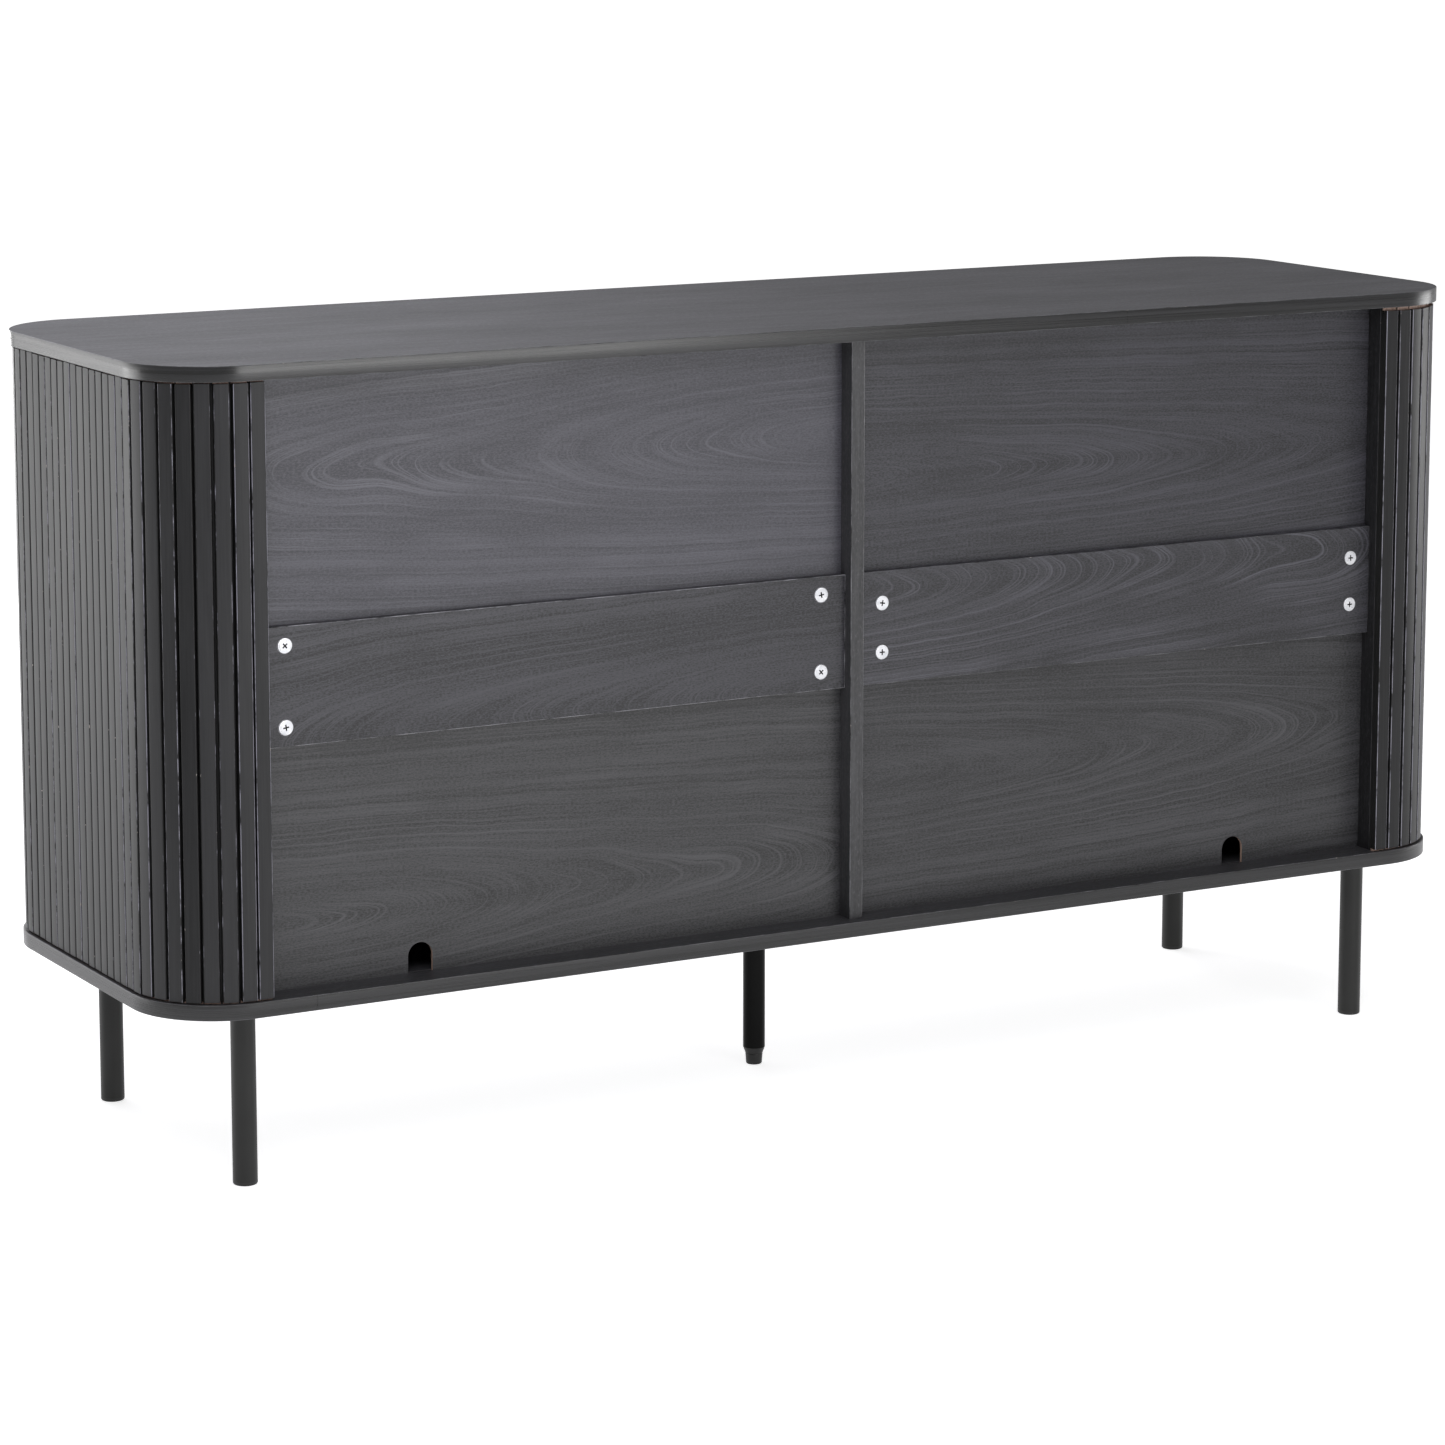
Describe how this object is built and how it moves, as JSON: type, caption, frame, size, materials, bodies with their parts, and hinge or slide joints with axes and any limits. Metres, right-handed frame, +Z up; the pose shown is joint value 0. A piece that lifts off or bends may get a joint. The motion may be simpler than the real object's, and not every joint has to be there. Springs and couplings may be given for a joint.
{
  "type": "sideboard buffet",
  "caption": "Long low sideboard with rounded slatted ends, slatted sliding doors, shelves behind them, open recessed back with mid rails, and round legs.",
  "frame": {"origin": "on the floor, under the middle of the cabinet's footprint", "axes": "+X towards the right end as seen from the front, +Y towards the back, +Z up; the front faces -Y"},
  "size_m": [1.5, 0.45, 0.792],
  "materials": {
    "board_black": "satin",
    "edge_black": "satin",
    "slat_black": "satin",
    "backing_black": "matte",
    "sheet_black": "satin",
    "leg_black": "satin",
    "centre_leg_black": "semi-gloss",
    "black_plastic": "matte",
    "foot_plastic": "satin",
    "pull_black": "satin",
    "clear_rubber": "satin",
    "zinc": "bright",
    "beech": "raw"
  },
  "bodies": {
    "root": {"top_board": "board_black", "top_edge_band": "edge_black", "bottom_board": "board_black", "bottom_edge_band": "edge_black", "side_panel_left": "board_black", "side_panel_right": "board_black", "centre_divider": "board_black", "back_sheet_upper_left": "sheet_black", "back_sheet_upper_right": "sheet_black", "back_sheet_lower_left": "sheet_black", "back_sheet_lower_right": "sheet_black", "back_rail_left": "board_black", "back_rail_right": "board_black", "end_slats_left": "slat_black", "end_slats_right": "slat_black", "end_backing_left": "backing_black", "end_backing_right": "backing_black", "shelf_left": "board_black", "shelf_right": "board_black", "shelf_pins": "zinc", "rail_cam_locks": "zinc", "rail_cam_bolts": "zinc", "panel_cam_locks": "zinc", "panel_cam_bolts": "zinc", "wood_dowels": "beech", "leg_front_left": "leg_black", "leg_front_right": "leg_black", "leg_back_left": "leg_black", "leg_back_right": "leg_black", "leg_glides": "foot_plastic", "leg_plates": "zinc", "leg_studs": "zinc", "leg_plate_screws": "zinc", "centre_leg_tube": "centre_leg_black", "centre_leg_cap": "foot_plastic", "door_track_top": "black_plastic", "door_track_bottom": "black_plastic", "track_screws": "zinc", "door_bumpers": "clear_rubber"},
    "door_left": {"door_left_panel": "board_black", "door_left_slats": "slat_black", "door_left_pull": "pull_black", "door_left_guides": "black_plastic", "door_left_housings": "black_plastic", "door_left_axles": "zinc"},
    "door_right": {"door_right_panel": "board_black", "door_right_slats": "slat_black", "door_right_pull": "pull_black", "door_right_guides": "black_plastic", "door_right_housings": "black_plastic", "door_right_axles": "zinc"},
    "roller_left_outer": {"door_left_roller_outer": "black_plastic"},
    "roller_left_inner": {"door_left_roller_inner": "black_plastic"},
    "roller_right_outer": {"door_right_roller_outer": "black_plastic"},
    "roller_right_inner": {"door_right_roller_inner": "black_plastic"},
    "leveller": {"leveller_foot": "foot_plastic"}
  },
  "joints": [
    {"name": "door_left_slide", "type": "slide", "parent": "root", "child": "door_left", "axis": [1, 0, 0], "range_m": [0, 0.623]},
    {"name": "door_right_slide", "type": "slide", "parent": "root", "child": "door_right", "axis": [1, 0, 0], "range_m": [-0.623, 0]},
    {"name": "roller_left_outer_spin", "type": "hinge", "parent": "door_left", "child": "roller_left_outer", "pos_m": [-0.5795, -0.184, 0.1968], "axis": [0, 1, 0], "continuous": true},
    {"name": "roller_left_inner_spin", "type": "hinge", "parent": "door_left", "child": "roller_left_inner", "pos_m": [-0.0435, -0.184, 0.1968], "axis": [0, 1, 0], "continuous": true},
    {"name": "roller_right_outer_spin", "type": "hinge", "parent": "door_right", "child": "roller_right_outer", "pos_m": [0.5795, -0.208, 0.1968], "axis": [0, 1, 0], "continuous": true},
    {"name": "roller_right_inner_spin", "type": "hinge", "parent": "door_right", "child": "roller_right_inner", "pos_m": [0.0435, -0.208, 0.1968], "axis": [0, 1, 0], "continuous": true},
    {"name": "leveller_screw", "type": "slide", "parent": "root", "child": "leveller", "axis": [0, 0, 1], "range_m": [-0.012, 0]}
  ],
  "couplings": [
    {"joint": "roller_left_outer_spin", "follows": "door_left_slide", "rad_per_m": 111.11},
    {"joint": "roller_left_inner_spin", "follows": "door_left_slide", "rad_per_m": 111.11},
    {"joint": "roller_right_outer_spin", "follows": "door_right_slide", "rad_per_m": 111.11},
    {"joint": "roller_right_inner_spin", "follows": "door_right_slide", "rad_per_m": 111.11}
  ]
}
